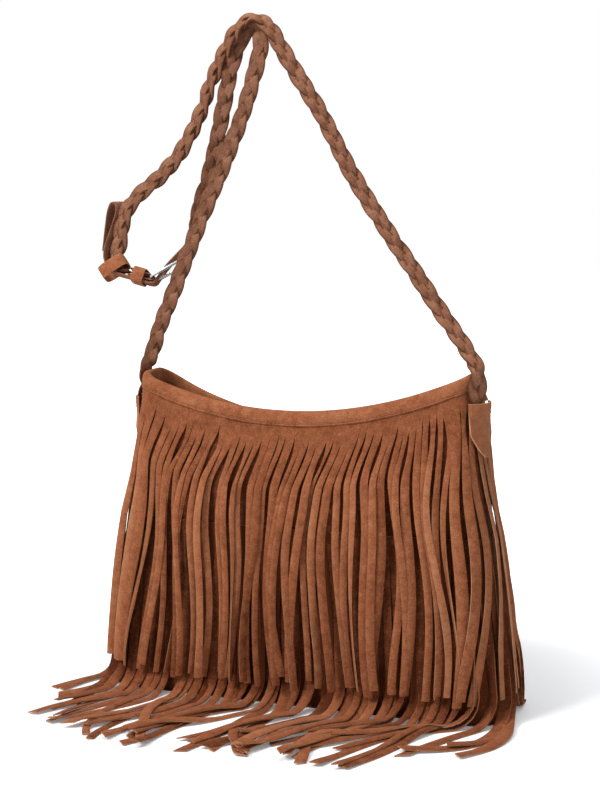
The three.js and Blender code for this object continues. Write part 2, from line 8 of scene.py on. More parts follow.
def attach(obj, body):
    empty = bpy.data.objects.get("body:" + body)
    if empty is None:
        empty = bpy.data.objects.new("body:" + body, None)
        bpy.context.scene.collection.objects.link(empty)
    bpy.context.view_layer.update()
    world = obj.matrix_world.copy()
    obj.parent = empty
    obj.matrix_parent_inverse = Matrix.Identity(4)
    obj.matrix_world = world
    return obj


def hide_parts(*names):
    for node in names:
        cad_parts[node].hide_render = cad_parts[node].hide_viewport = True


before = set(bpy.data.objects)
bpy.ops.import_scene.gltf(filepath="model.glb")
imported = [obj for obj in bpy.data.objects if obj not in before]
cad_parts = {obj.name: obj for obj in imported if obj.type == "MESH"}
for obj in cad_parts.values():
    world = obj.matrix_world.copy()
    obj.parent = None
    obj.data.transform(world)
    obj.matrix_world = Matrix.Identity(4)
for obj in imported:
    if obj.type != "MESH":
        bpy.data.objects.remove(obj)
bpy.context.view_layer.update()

# Camera: a short telephoto lens 1.4 m away, in front of the bag and a little to its right, level with the
# strap and looking slightly down.
camera_data = bpy.data.cameras.new("photo_camera")
camera_data.lens = 73.1
camera = bpy.data.objects.new("photo_camera", camera_data)
camera.location = (0.4726, -1.3222, 0.4617)
camera.rotation_euler = (math.radians(82), 0, math.radians(20))
bpy.context.collection.objects.link(camera)
bpy.context.scene.camera = camera

# Plaited strap: two flat plaits of three suede thongs each. Both are sewn under the pointed tabs at the
# bag's ends. They hang over one point at the top, and a buckle joins their free ends.
MM = 0.001
rng = np.random.default_rng(17)
UP = np.array((0.0, 0.0, 1.0))
PLAIT_WIDTH = 14.5
THONG_WIDTH = 8.4
THONG_THICKNESS = 2.5
PLAIT_PERIOD = 55.0
PLAIT_STEP = 1.6
SEWN_END = 14.0
FREE_END = 9.0
FANNED_END = 24.0

# Each route runs from the tab to the buckle, in metres. The faces say which way the flat of the plait
# looks, at shares of the route's points.
LONG_ROUTE = [
    (0.1561, -0.0197, 0.2726), (0.1549, -0.0195, 0.2846), (0.1549, -0.0195, 0.2976),
    (0.1470, -0.0120, 0.3090), (0.1185, -0.0040, 0.3460), (0.0815, -0.0010, 0.3960),
    (0.0365, 0.0000, 0.4630), (0.0095, 0.0000, 0.5120), (-0.0095, 0.0000, 0.5410),
    (-0.0265, 0.0000, 0.5680), (-0.0375, 0.0000, 0.5840), (-0.0505, 0.0010, 0.5920),
    (-0.0645, 0.0030, 0.5870), (-0.0765, 0.0060, 0.5730), (-0.0935, 0.0100, 0.5430),
    (-0.1090, 0.0140, 0.5090), (-0.1270, 0.0170, 0.4810), (-0.1510, 0.0190, 0.4560),
    (-0.1685, 0.0180, 0.4420), (-0.1805, 0.0160, 0.4280), (-0.1860, 0.0140, 0.4100),
    (-0.1880, 0.0120, 0.3940), (-0.1895, 0.0090, 0.3850), (-0.1885, 0.0070, 0.3790),
    (-0.1858, 0.0066, 0.3745), (-0.1802, 0.0072, 0.3730), (-0.1750, 0.0077, 0.3716),
]
LONG_FACES = [
    (0, (0.75, -0.66, 0)), (0.06, (0.7, -0.71, 0)), (0.2, (0.3, -0.95, 0)), (0.35, (0.25, -0.9, 0.3)),
    (0.42, (0, -0.6, 0.8)), (0.5, (-0.3, -0.9, 0.2)), (0.66, (-0.1, -0.98, 0)), (0.79, (0.1, -0.98, 0)),
    (0.87, (-0.35, -0.9, -0.3)), (0.93, (-0.2, -0.35, -0.91)), (1, (-0.2, -0.35, -0.91)),
]
SHORT_ROUTE = [
    (-0.1595, 0.0000, 0.2626), (-0.1570, 0.0000, 0.2846), (-0.1490, -0.0020, 0.3020),
    (-0.1390, -0.0050, 0.3280), (-0.1230, -0.0080, 0.3600), (-0.1070, -0.0100, 0.3980),
    (-0.0915, -0.0100, 0.4330), (-0.0730, -0.0090, 0.4740), (-0.0575, -0.0070, 0.5140),
    (-0.0500, -0.0050, 0.5400), (-0.0455, 0.0000, 0.5630), (-0.0475, 0.0060, 0.5795),
    (-0.0555, 0.0105, 0.5865), (-0.0655, 0.0120, 0.5780), (-0.0735, 0.0105, 0.5590),
    (-0.0815, 0.0090, 0.5250), (-0.0910, 0.0100, 0.4850), (-0.1015, 0.0130, 0.4500),
    (-0.1110, 0.0200, 0.4300), (-0.1170, 0.0260, 0.4140), (-0.1186, 0.0296, 0.4036),
    (-0.1266, 0.0248, 0.3940),
]
SHORT_FACES = [
    (0, (-1, 0, 0)), (0.035, (-1, 0, 0)), (0.085, (-0.35, 0.93, 0)), (0.2, (-0.3, 0.95, 0)),
    (0.44, (-0.3, 0.95, 0)), (0.55, (0, 0.8, 0.6)), (0.66, (-0.3, 0.95, 0)), (0.85, (-0.5, 0.8, 0)),
    (1, (-0.77, 0.07, 0.63)),
]


# A hex colour as linear light.
def linear(hex_colour):
    channels = [int(hex_colour[i:i + 2], 16) / 255 for i in (0, 2, 4)]
    return tuple(c / 12.92 if c <= 0.04045 else ((c + 0.055) / 1.055) ** 2.4 for c in channels) + (1.0,)


# Adds one node, with each input linked to a socket or set to a value.
def add_node(tree, kind, inputs=(), **settings):
    node = tree.nodes.new(kind)
    for key, value in settings.items():
        setattr(node, key, value)
    for key, value in dict(inputs).items():
        if isinstance(value, bpy.types.NodeSocket):
            tree.links.new(value, node.inputs[key])
        else:
            node.inputs[key].default_value = value
    return node


# A new material, with its node tree, its shader and the place on the object.
def new_finish(name):
    material = bpy.data.materials.new(name)
    material.use_nodes = True
    tree = material.node_tree
    place = add_node(tree, "ShaderNodeTexCoord").outputs["Object"]
    return material, tree, tree.nodes["Principled BSDF"], place


# Colours a material from dark to light over a pattern.
def colour_between(tree, shader, pattern, dark, light):
    colour = add_node(tree, "ShaderNodeValToRGB", {"Fac": pattern})
    colour.color_ramp.elements[0].color = linear(dark)
    colour.color_ramp.elements[1].color = linear(light)
    tree.links.new(colour.outputs["Color"], shader.inputs["Base Color"])
    return colour.color_ramp


# Brushed suede, split hide with a raised nap: no gloss, a soft bloom at grazing angles, lighter and darker
# clouds where the nap was stroked, and a fine fibrous grain, drawn at 1.1 mm so that it shows.
def suede_finish(name, dark, middle, light):
    material, tree, shader, place = new_finish(name)
    cloud = add_node(tree, "ShaderNodeTexNoise", {"Vector": place, "Scale": 1 / 0.012, "Detail": 5.0})
    nap = add_node(tree, "ShaderNodeTexNoise", {"Vector": place, "Scale": 1 / 0.0011, "Detail": 3.0})
    streak = add_node(tree, "ShaderNodeTexNoise", {"Vector": place, "Scale": 1 / 0.005, "Detail": 4.0})
    tone = add_node(tree, "ShaderNodeAttribute", attribute_name="tone")
    shade = add_node(tree, "ShaderNodeMath", {0: cloud.outputs[0], 1: 0.3}, operation="MULTIPLY")
    shade = add_node(tree, "ShaderNodeMath", {0: streak.outputs[0], 1: 0.35, 2: shade.outputs[0]},
                     operation="MULTIPLY_ADD")
    shade = add_node(tree, "ShaderNodeMath", {0: nap.outputs[0], 1: 0.55, 2: shade.outputs[0]},
                     operation="MULTIPLY_ADD")
    shade = add_node(tree, "ShaderNodeMath", {0: tone.outputs["Fac"], 1: shade.outputs[0]}, operation="ADD")
    ramp = colour_between(tree, shader, shade.outputs[0], dark, light)
    ramp.elements[0].position = 0.28
    ramp.elements[1].position = 0.92
    ramp.elements.new(0.6).color = linear(middle)
    grain = add_node(tree, "ShaderNodeMath", {0: streak.outputs[0], 1: nap.outputs[0]}, operation="ADD")
    bump = add_node(tree, "ShaderNodeBump", {"Height": grain.outputs[0], "Strength": 0.45, "Distance": 0.0006})
    tree.links.new(bump.outputs["Normal"], shader.inputs["Normal"])
    shader.inputs["Roughness"].default_value = 0.95
    shader.inputs["Specular IOR Level"].default_value = 0.12
    shader.inputs["Sheen Weight"].default_value = 0.22
    shader.inputs["Sheen Roughness"].default_value = 0.45
    shader.inputs["Sheen Tint"].default_value = linear("d9a684")
    return material


suede = suede_finish("brushed_suede", "4e240f", "8a5033", "ac7552")
# The plaits are a little greyer than the body.
plait_suede = suede_finish("plaited_suede", "4d2c1a", "7d523d", "9d735b")
# Where the hide is cut, its paler middle shows.
cut_edge = suede_finish("suede_raw_cut_edge", "865433", "ab7652", "cb9a79")


# A mesh from points in millimetres. The tone makes the suede lighter or darker at each point.
def new_piece(name, points, faces, materials, tones=None):
    mesh = bpy.data.meshes.new(name)
    mesh.from_pydata((np.asarray(points, float) * MM).tolist(), [], faces)
    for material in materials:
        mesh.materials.append(material)
    tone = mesh.attributes.new("tone", "FLOAT", "POINT")
    tone.data.foreach_set("value", np.zeros(len(points)) if tones is None else np.asarray(tones, float))
    piece = bpy.data.objects.new(name, mesh)
    bpy.context.collection.objects.link(piece)
    return piece


def work_on(piece):
    bpy.ops.object.select_all(action="DESELECT")
    piece.select_set(True)
    bpy.context.view_layer.objects.active = piece


def face_outwards(piece):
    shell = bmesh.new()
    shell.from_mesh(piece.data)
    bmesh.ops.recalc_face_normals(shell, faces=shell.faces)
    shell.to_mesh(piece.data)
    shell.free()


# Finishes a piece: smooth shading, the body it rides on, and the parts it stands for, which are hidden.
def settle(piece, nodes=(), body="bag", angle=50):
    work_on(piece)
    bpy.ops.object.shade_smooth_by_angle(angle=math.radians(angle))
    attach(piece, body)
    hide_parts(*nodes)


def unit(vectors):
    vectors = np.asarray(vectors, float)
    return vectors / np.linalg.norm(vectors, axis=-1, keepdims=True)


def smoothstep(value, low, high):
    t = np.clip((np.asarray(value, float) - low) / (high - low), 0, 1)
    return t * t * (3 - 2 * t)


# A smooth curve through the points, centripetal so that it doesn't loop at close ones, in even steps.
def smooth_route(points, step):
    points = np.asarray(points, float)
    ends = np.vstack([2 * points[0] - points[1], points, 2 * points[-1] - points[-2]])
    fine, shares = [], []
    for i in range(len(points) - 1):
        p0, p1, p2, p3 = ends[i:i + 4]
        d0, d1, d2 = (max(np.linalg.norm(b - a) ** 0.5, 1e-6) for a, b in ((p0, p1), (p1, p2), (p2, p3)))
        m1 = ((p1 - p0) / d0 - (p2 - p0) / (d0 + d1) + (p2 - p1) / d1) * d1
        m2 = ((p2 - p1) / d1 - (p3 - p1) / (d1 + d2) + (p3 - p2) / d2) * d1
        for t in np.linspace(0, 1, 40, endpoint=i == len(points) - 2):
            fine.append((2 * t**3 - 3 * t**2 + 1) * p1 + (t**3 - 2 * t**2 + t) * m1
                        + (3 * t**2 - 2 * t**3) * p2 + (t**3 - t**2) * m2)
            shares.append((i + t) / (len(points) - 1))
    fine = np.array(fine)
    run = np.concatenate([[0], np.cumsum(np.linalg.norm(np.diff(fine, axis=0), axis=1))])
    even = np.linspace(0, run[-1], max(2, round(run[-1] / step) + 1))
    line = np.stack([np.interp(even, run, fine[:, k]) for k in range(3)], 1)
    return line, np.interp(even, run, shares), even


# Faces between rings of points: each ring to the next and, where closed, the last to the first.
def ring_faces(rings, count, closed=False, start=0):
    faces = []
    for k in range(rings if closed else rings - 1):
        here, there = start + k * count, start + (k + 1) % rings * count
        for i in range(count):
            j = (i + 1) % count
            faces.append((here + i, here + j, there + j, there + i))
    return faces


# A solid strip: an outline at each point, given as side and face offsets, carried along a line.
def sweep(line, sides, normals, outlines):
    count = len(outlines[0])
    points = [line[k] + sides[k] * a + normals[k] * b for k in range(len(line)) for a, b in outlines[k]]
    faces = [tuple(reversed(range(count))), tuple((len(line) - 1) * count + i for i in range(count))]
    return points, faces + ring_faces(len(line), count)


# A rectangle with rounded corners, the squarer the higher its squareness.
def rounded_outline(width, thickness, points, squareness):
    angles = (np.arange(points) + 0.5) * 2 * math.pi / points
    power = 2 / squareness
    return [(width / 2 * math.copysign(abs(math.cos(a)) ** power, math.cos(a)),
             thickness / 2 * math.copysign(abs(math.sin(a)) ** power, math.sin(a))) for a in angles]


# Three thongs that cross over and under each other, thinner where the plait is sewn in at each end.
def make_plait(name, route, faces, nodes, phase):
    line, shares, run = smooth_route(np.array(route) / MM, PLAIT_STEP)
    along = unit(np.gradient(line, axis=0))
    spots = np.array([spot for spot, _ in faces])
    listed = np.array([direction for _, direction in faces], float)
    index = np.clip(np.searchsorted(spots, shares, side="left"), 1, len(spots) - 1)
    mixed = smoothstep((shares - spots[index - 1]) / (spots[index] - spots[index - 1]), 0, 1)[:, None]
    looks = unit(listed[index - 1] * (1 - mixed) + listed[index] * mixed)
    side = unit(np.cross(looks, along))
    face = unit(np.cross(along, side))
    squeeze = 1 - 0.45 * smoothstep(run, run[-1] - FREE_END, run[-1])
    squeeze *= 1 - 0.35 * smoothstep(-run, -SEWN_END, 0)
    spread = (PLAIT_WIDTH - THONG_WIDTH) / 2
    lift = THONG_THICKNESS / 1.35
    points, quads, tones = [], [], []
    for strand in range(3):
        turn = 2 * math.pi * (run / PLAIT_PERIOD + strand / 3) + phase + 0.25 * np.sin(run / 61 + strand)
        slack = 1 + 0.05 * np.sin(run / 23 + 2.1 * strand)
        weave = np.sign(np.sin(turn)) * np.abs(np.sin(turn)) ** 0.8
        fan = 1 + 0.9 * (1 - smoothstep(run, 0, FANNED_END))
        centre = line + side * (spread * slack * weave * fan)[:, None]
        centre = centre + face * (lift * squeeze * np.sin(2 * turn))[:, None]
        way = unit(np.gradient(centre, axis=0))
        tilt = 0.28 * np.cos(turn)[:, None]
        flat = unit(face + side * tilt * np.sign(np.sin(2 * turn))[:, None] * 0.6)
        thong_side = unit(np.cross(flat, way))
        thong_face = unit(np.cross(way, thong_side))
        widths = THONG_WIDTH * (1 + 0.07 * np.sin(run / 17 + 1.3 * strand))
        outlines = [rounded_outline(w, THONG_THICKNESS * q, 12, 4.4) for w, q in zip(widths, squeeze)]
        more, faces_more = sweep(centre, thong_side, thong_face, outlines)
        quads += [tuple(v + len(points) for v in quad) for quad in faces_more]
        points += more
        # Each thong is painted darker towards its two edges: painted shade where the thongs tuck under each
        # other. The slow change of tone along each thong is its own.
        from_middle = np.abs(np.array(outlines[len(outlines) // 2])[:, 0]) / (THONG_WIDTH / 2)
        thong_edge_shade = 0.07 - 0.38 * from_middle ** 4
        tones += list((0.05 * np.sin(run / 9 + strand * 2.2)[:, None] + thong_edge_shade).ravel())
    plait = new_piece(name, points, quads, [plait_suede], tones)
    face_outwards(plait)
    settle(plait, nodes, angle=60)
    return plait, line * MM


long_plait, long_line = make_plait("plaited_strap_long", LONG_ROUTE, LONG_FACES, ["long_plait"], 0.4)
short_plait, short_line = make_plait("plaited_strap_short", SHORT_ROUTE, SHORT_FACES, ["short_plait"], 1.9)

# Buckle end of the strap: a plain suede fold holds the buckle's heel bar, and the plain tongue of the other
# plait comes through the frame, lies along the strap under two suede keepers and turns back on itself.
HEEL = np.array((-153.5, 10.0, 366.0))
RUN = np.array((0.962102, 0.101274, -0.253185))
BAR = np.array((0.181630, -0.930537, 0.317980))
OUTER = np.array((-0.203395, -0.351915, -0.913666))
STRAP_WIDTH = 14.0
TONGUE_THICKNESS = 1.8
FOLD_THICKNESS = 1.3
KEEPER_THICKNESS = 1.5
# The tongue's route: where it is held, along and out from the heel bar, and then its free end.
KEPT_TONGUE = [(20, -36), (15, -26), (10.3, -16), (7.5, -9), (5.4, -1.5), (3.4, 3.8), (-1.5, 5.2), (-9, 4.8),
               (-22, 4.8), (-34, 4.8)]
FREE_TONGUE = [(-194.5, 6.5, 373.2), (-198.5, 10, 381), (-198, 14.5, 393), (-195, 18, 405),
               (-191.5, 20.5, 417), (-189.5, 22, 427), (-191.5, 23.5, 433), (-196.5, 26, 433.5),
               (-200.5, 27.5, 427), (-203, 27.5, 414), (-204.5, 26.5, 400), (-205.5, 25.5, 389)]
FREE_FROM = 88.0
FREE_TURN = 26.0
FREE_ACROSS = np.array((-0.424, -0.905, 0.0))
SLOT_LENGTH = 13.5
SLOT_MIDDLE = 2.25
SLOT_WIDTH = 3.7
SLOT_DEPTH = 20.0


# A plain strip with soft corners. Its width lies along the heel bar at first and turns past FREE_FROM.
def make_strip(name, route, thickness, across_end):
    line, _, run = smooth_route(route, 1.4)
    way = unit(np.gradient(line, axis=0))
    turned = smoothstep(run, FREE_FROM, FREE_FROM + FREE_TURN)[:, None]
    face = unit(np.cross(way, BAR * (1 - turned) + across_end * turned))
    across = unit(np.cross(face, way))
    points, faces = sweep(line, across, face, [rounded_outline(STRAP_WIDTH, thickness, 12, 5.0)] * len(line))
    strip = new_piece(name, points, faces, [plait_suede], np.full(len(points), -0.02))
    face_outwards(strip)
    return strip


def strap_place(along, out):
    return HEEL + RUN * along + OUTER * out


# The prong's slot, cut through a strip with a flat punch.
def cut_slot(strip):
    bpy.ops.object.select_all(action="DESELECT")
    bpy.ops.mesh.primitive_cube_add(size=1)
    punch = bpy.context.active_object
    sizes = Matrix((RUN * SLOT_LENGTH * MM, BAR * SLOT_WIDTH * MM, OUTER * SLOT_DEPTH * MM))
    middle = Vector(strap_place(SLOT_MIDDLE, 0) * MM)
    punch.matrix_world = Matrix.Translation(middle) @ sizes.transposed().to_4x4()
    work_on(strip)
    slot = strip.modifiers.new("slot", "BOOLEAN")
    slot.object = punch
    slot.operation = "DIFFERENCE"
    bpy.ops.object.modifier_apply(modifier="slot")
    bpy.data.objects.remove(punch)


tongue_route = [strap_place(a, b) for a, b in KEPT_TONGUE] + [np.array(p) for p in FREE_TONGUE]
tongue = make_strip("suede_tongue", tongue_route, TONGUE_THICKNESS, FREE_ACROSS)
cut_slot(tongue)
settle(tongue, ["tongue_strap"])

FOLD_PROFILE = [(-22, 3.1), (-16, 2.9), (-10, 2.6), (-4, 2.5), (0, 2.45), (1.75, 1.75), (2.45, 0),
                (1.75, -1.75), (0, -2.45), (-4, -2.5), (-10, -2.6), (-16, -2.9), (-22, -3.1)]
fold_route = [strap_place(a, b) for a, b in FOLD_PROFILE]
fold = make_strip("suede_buckle_fold", fold_route, FOLD_THICKNESS, BAR)
cut_slot(fold)
settle(fold, ["buckle_fold"])


# A closed suede loop round the strap, squarish, with its band's corners rounded.
def make_keeper(name, centre, axis, half_across, half_up, length, node, body):
    up = np.cross(axis, BAR)
    band = rounded_outline(length, KEEPER_THICKNESS, 10, 4.0)
    turns = np.linspace(0, 2 * math.pi, 28, endpoint=False)
    points = []
    for c, w in zip(np.cos(turns), np.sin(turns)):
        a, u = half_across * math.copysign(abs(c) ** 0.5, c), half_up * math.copysign(abs(w) ** 0.5, w)
        outward = unit((a / half_across ** 2, u / half_up ** 2))
        for along, off in band:
            points.append(centre + axis * along + BAR * (a + outward[0] * off) + up * (u + outward[1] * off))
    faces = ring_faces(len(turns), len(band), closed=True)
    keeper = new_piece(name, points, faces, [suede], np.full(len(points), 0.06))
    face_outwards(keeper)
    settle(keeper, [node], body)
    return keeper


fixed_keeper = make_keeper("suede_fixed_keeper", strap_place(-12, 1.1), RUN, 9.6, 6.8, 11.5,
                           "fixed_keeper", "bag")
loose_axis = unit(RUN * 0.77 + OUTER * 0.64)
loose_keeper = make_keeper("suede_loose_keeper", np.array((-189.9, 6.3, 375.5)), loose_axis, 9.8, 12.6, 12.0,
                           "loose_keeper", "keeper")

# Buckle: a bright plated steel frame of bent wire with a straight prong. The prong's eye turns on the heel
# bar, and its tip lies on the far bar.
FRAME_REACH = 30.0
FRAME_HALF = 9.7
FRAME_BEND = 3.2
WIRE = 3.0
FRAME_TILT = math.radians(45)
EYE_RADIUS = 2.75
PRONG_WIDTH = 2.4
PRONG_THICKNESS = 1.7
PRONG_TIP = 5.0
steel, steel_tree, steel_shader, steel_place = new_finish("bright_plated_steel")
# Polished plating with fine handling scratches, drawn at 0.8 mm so that they show in the gloss.
scratch = add_node(steel_tree, "ShaderNodeTexNoise",
                   {"Vector": steel_place, "Scale": 1 / 0.0008, "Detail": 4.0})
steel_gloss = add_node(steel_tree, "ShaderNodeMapRange",
                       {"Value": scratch.outputs[0], "To Min": 0.08, "To Max": 0.26})
colour_between(steel_tree, steel_shader, scratch.outputs[0], "b9bbbd", "e3e4e4")
steel_tree.links.new(steel_gloss.outputs[0], steel_shader.inputs["Roughness"])
steel_shader.inputs["Metallic"].default_value = 1.0

REACH = RUN * math.cos(FRAME_TILT) - OUTER * math.sin(FRAME_TILT)
LIFT = RUN * math.sin(FRAME_TILT) + OUTER * math.cos(FRAME_TILT)

# The frame: a flat rectangle with its corners bevelled, kept as an outline, and wire run along it.
bpy.ops.object.select_all(action="DESELECT")
bpy.ops.mesh.primitive_plane_add(size=MM)
buckle_frame = bpy.context.active_object
buckle_frame.name = "steel_buckle_frame"
bpy.ops.object.mode_set(mode="EDIT")
bpy.ops.transform.resize(value=(FRAME_REACH, 2 * FRAME_HALF, 1))
bpy.ops.transform.translate(value=(FRAME_REACH / 2 * MM, 0, 0))
bpy.ops.mesh.bevel(offset=FRAME_BEND * MM, segments=6, affect="VERTICES")
bpy.ops.mesh.delete(type="ONLY_FACE")
bpy.ops.object.mode_set(mode="OBJECT")
bpy.ops.object.convert(target="CURVE")
buckle_frame.data.bevel_depth = WIRE / 2 * MM
buckle_frame.data.bevel_resolution = 3
bpy.ops.object.convert(target="MESH")
buckle_turn = Matrix((REACH, BAR, LIFT)).transposed().to_4x4()
buckle_frame.matrix_world = Matrix.Translation(Vector(HEEL * MM)) @ buckle_turn
bpy.ops.object.transform_apply(location=True, rotation=True, scale=True)
buckle_frame.data.materials.append(steel)
face_outwards(buckle_frame)
settle(buckle_frame, ["buckle_frame"])

# The prong: a wire bent into an eye round the heel bar, then straight to its thinner tip on the far bar.
eye_turn = np.linspace(math.pi * 2.35, math.pi * 0.5, 22)
prong_line = [(EYE_RADIUS * math.cos(a), 0, EYE_RADIUS * math.sin(a)) for a in eye_turn]
prong_line += [(x, 0, z) for x, z in ((3, 2.8), (8, 2.85), (16, 2.9), (24, 2.9), (29, 2.85), (33, 2.5))]
prong_line, _, prong_run = smooth_route(prong_line, 0.8)
prong_way = unit(np.gradient(prong_line, axis=0))
prong_across = np.repeat([[0.0, 1.0, 0.0]], len(prong_line), 0)
prong_taper = 1 - 0.35 * smoothstep(prong_run, prong_run[-1] - PRONG_TIP, prong_run[-1])
prong_points, prong_faces = sweep(prong_line, prong_across, np.cross(prong_way, prong_across),
                                  [rounded_outline(PRONG_WIDTH * t, PRONG_THICKNESS * t, 10, 2.2)
                                   for t in prong_taper])
prong_points = HEEL + np.array(prong_points) @ np.array((REACH, BAR, LIFT))
buckle_prong = new_piece("steel_buckle_prong", prong_points, prong_faces, [steel])
face_outwards(buckle_prong)
settle(buckle_prong, ["buckle_prong"], "prong")

# Body: a front and a back of suede sewn together up the middle of each end, on a flat suede base. The bag is
# softly filled, so the walls belly out, and the mouth sags between its two ends.
# The mouth and the base each have a width, a depth and a corner radius.
MOUTH = (300.0, 50.0, 15.0)
BASE = (366.0, 80.0, 30.0)
END_HEIGHT = 284.0
RIGHT_END_RISE = 10.0
FRONT_SAG, BACK_SAG = 32.0, 48.0
BELLY = 10.0
FRONT_RUN = 144.0
CORNER_RUN = 35.343
END_RUN = 20.0
END_SEAM = FRONT_RUN + CORNER_RUN + END_RUN / 2
HALF_GIRTH = 2 * END_SEAM
PANEL_THICKNESS = 1.6
SEAM_GAP = 0.15
WALL_FOOT = 1.9
WALL_ROWS = 30


# A point of the wall at a girth, counted in millimetres from the middle of the front towards the right.
def wall_point(girth, z, out=0.0):
    t = min(max(z / END_HEIGHT, 0.0), 1.0)
    width, depth, corner = (b + (m - b) * t for b, m in zip(BASE, MOUTH))
    belly = BELLY * math.sin(math.pi * t)
    ripple = 1.3 * math.sin(girth / 31 + z / 55) * math.sin(math.pi * t)
    ripple += 0.8 * math.sin(girth / 13 - z / 37) * t * (1 - t) * 4
    out = out + ripple * 0.8
    half_width, half_depth, radius = width / 2 + out, depth / 2 + out, corner + out
    while girth > HALF_GIRTH:
        girth -= 2 * HALF_GIRTH
    run, hand = abs(girth), (1 if girth >= 0 else -1)
    flat = half_width - radius
    end_start = FRONT_RUN + CORNER_RUN
    if run <= FRONT_RUN:
        u = run / FRONT_RUN
        x, y = u * flat, -half_depth - belly * (1 - u * u)
    elif run <= end_start:
        a = (run - FRONT_RUN) / CORNER_RUN * math.pi / 2
        x, y = flat + radius * math.sin(a), -half_depth + radius * (1 - math.cos(a))
    elif run <= end_start + END_RUN:
        s = (run - end_start) / END_RUN
        x, y = half_width, (-half_depth + radius) * (1 - s) + (half_depth - radius) * s
    elif run <= end_start + END_RUN + CORNER_RUN:
        a = (run - end_start - END_RUN) / CORNER_RUN * math.pi / 2
        x, y = flat + radius * math.cos(a), half_depth - radius * (1 - math.sin(a))
    else:
        u = max(0.0, 1 - (run - end_start - END_RUN - CORNER_RUN) / FRONT_RUN)
        x, y = u * flat, half_depth + belly * (1 - u * u)
    return np.array((hand * x, y, z))


# The height of the mouth's edge, lowest at the middle of each side.
def rim_height(girth):
    point = wall_point(girth, END_HEIGHT)
    u = min(1.0, abs(point[0]) / (MOUTH[0] / 2))
    sag = FRONT_SAG if point[1] < 0 else BACK_SAG
    return END_HEIGHT + RIGHT_END_RISE * (0.5 + point[0] / MOUTH[0]) - sag * (1 - u * u)


# The direction along the wall, level, towards growing girth.
def wall_side(girth, z):
    return unit(wall_point(girth + 1.5, z) - wall_point(girth - 1.5, z))


# One wall as a sheet with a thickness, from the base up to the rim.
def wall_sheet(name, girths, node):
    points = []
    for girth in girths:
        heights = np.linspace(WALL_FOOT, rim_height(girth), WALL_ROWS + 1)
        points += [wall_point(girth, z) for z in heights]
        points += [wall_point(girth, z, -PANEL_THICKNESS) for z in heights[::-1]]
    count = 2 * (WALL_ROWS + 1)
    faces = ring_faces(len(girths), count)
    for start in (0, (len(girths) - 1) * count):
        faces += [(start + i, start + i + 1, start + count - 2 - i, start + count - 1 - i)
                  for i in range(WALL_ROWS)]
    # The walls are painted darker all over: painted shade, as they hang behind the fringes.
    sheet = new_piece(name, points, faces, [suede], np.full(len(points), -0.3))
    face_outwards(sheet)
    settle(sheet, [node])


FRONT_SPAN = (-END_SEAM, END_SEAM)
BACK_SPAN = (END_SEAM, 2 * HALF_GIRTH - END_SEAM)
wall_sheet("suede_front", np.linspace(FRONT_SPAN[0] + SEAM_GAP, FRONT_SPAN[1] - SEAM_GAP, 91), "front_panel")
wall_sheet("suede_back", np.linspace(BACK_SPAN[0] + SEAM_GAP, BACK_SPAN[1] - SEAM_GAP, 91), "back_panel")

# The base: four rings of the foot's outline, drawn in a little at its two edges.
foot = [wall_point(g, 0.0) for g in np.linspace(-HALF_GIRTH, HALF_GIRTH, 161)[:-1]]
BASE_RINGS = ((0.985, 0.0), (1, 0.35), (1, 1.25), (0.985, 1.6))
base_points = [p * (s, s, 0) + (0, 0, z) for s, z in BASE_RINGS for p in foot]
count = len(foot)
base_faces = ring_faces(len(BASE_RINGS), count)
base_faces += [tuple(reversed(range(count))), tuple(3 * count + i for i in range(count))]
base = new_piece("suede_base", base_points, base_faces, [suede])
face_outwards(base)
settle(base, ["base_panel"])

# Lining: a plain cotton twill bag with a flat bottom, dropped into the suede one. Its upper edge is caught
# under the binding.
LINING_OUT, LINING_IN = -2.9, -3.7
LINING_ROWS = 26
BINDING_DROP = 12.0
twill, twill_tree, twill_shader, twill_place = new_finish("brown_cotton_twill")
# The twill's diagonal rib, 1.6 mm apart so that it shows, under a faint unevenness of the dye.
rib_scale = 1 / 0.0016 / 6.283
rib = add_node(twill_tree, "ShaderNodeTexWave", {"Vector": twill_place, "Scale": rib_scale, "Distortion": 0.6},
               bands_direction="DIAGONAL")
dye = add_node(twill_tree, "ShaderNodeTexNoise", {"Vector": twill_place, "Scale": 1 / 0.03, "Detail": 3.0})
weave = add_node(twill_tree, "ShaderNodeMath", {0: rib.outputs["Fac"], 1: dye.outputs[0]},
                 operation="MULTIPLY")
colour_between(twill_tree, twill_shader, weave.outputs[0], "4a2e20", "7a5340")
twill_bump = add_node(twill_tree, "ShaderNodeBump",
                      {"Height": rib.outputs["Fac"], "Strength": 0.3, "Distance": 0.0003})
twill_tree.links.new(twill_bump.outputs["Normal"], twill_shader.inputs["Normal"])
twill_shader.inputs["Roughness"].default_value = 0.85

ring_girths = np.linspace(-HALF_GIRTH, HALF_GIRTH, 181)[:-1]
turns, rows = len(ring_girths), LINING_ROWS + 1
lining_points, lining_faces = [], []
for skin, out in enumerate((LINING_OUT, LINING_IN)):
    first = skin * turns * rows
    for k, girth in enumerate(ring_girths):
        heights = np.linspace(WALL_FOOT + LINING_OUT - out, rim_height(girth) - BINDING_DROP + 4, rows)
        lining_points += [wall_point(girth, z, out) for z in heights]
        for r in range(LINING_ROWS):
            a, b = first + k * rows + r, first + (k + 1) % turns * rows + r
            lining_faces.append((a, a + 1, b + 1, b) if skin else (a, b, b + 1, a + 1))
    bottom = range(turns) if skin else reversed(range(turns))
    lining_faces.append(tuple(first + k * rows for k in bottom))
for k in range(turns):
    a, b = k * rows + rows - 1, (k + 1) % turns * rows + rows - 1
    lining_faces.append((a, b, b + turns * rows, a + turns * rows))
lining = new_piece("twill_lining", lining_points, lining_faces, [twill])
settle(lining, ["lining"])

# Rim binding: one suede strip folded over the mouth's edge, turned under and sewn through near its lower edge.
# Its ends meet with a small lap at the left of the front.
LAP_GIRTH = -139.0
LAP_LIFT = 0.9
STITCH_DROP = 8.8
STITCH_PITCH = 3.8
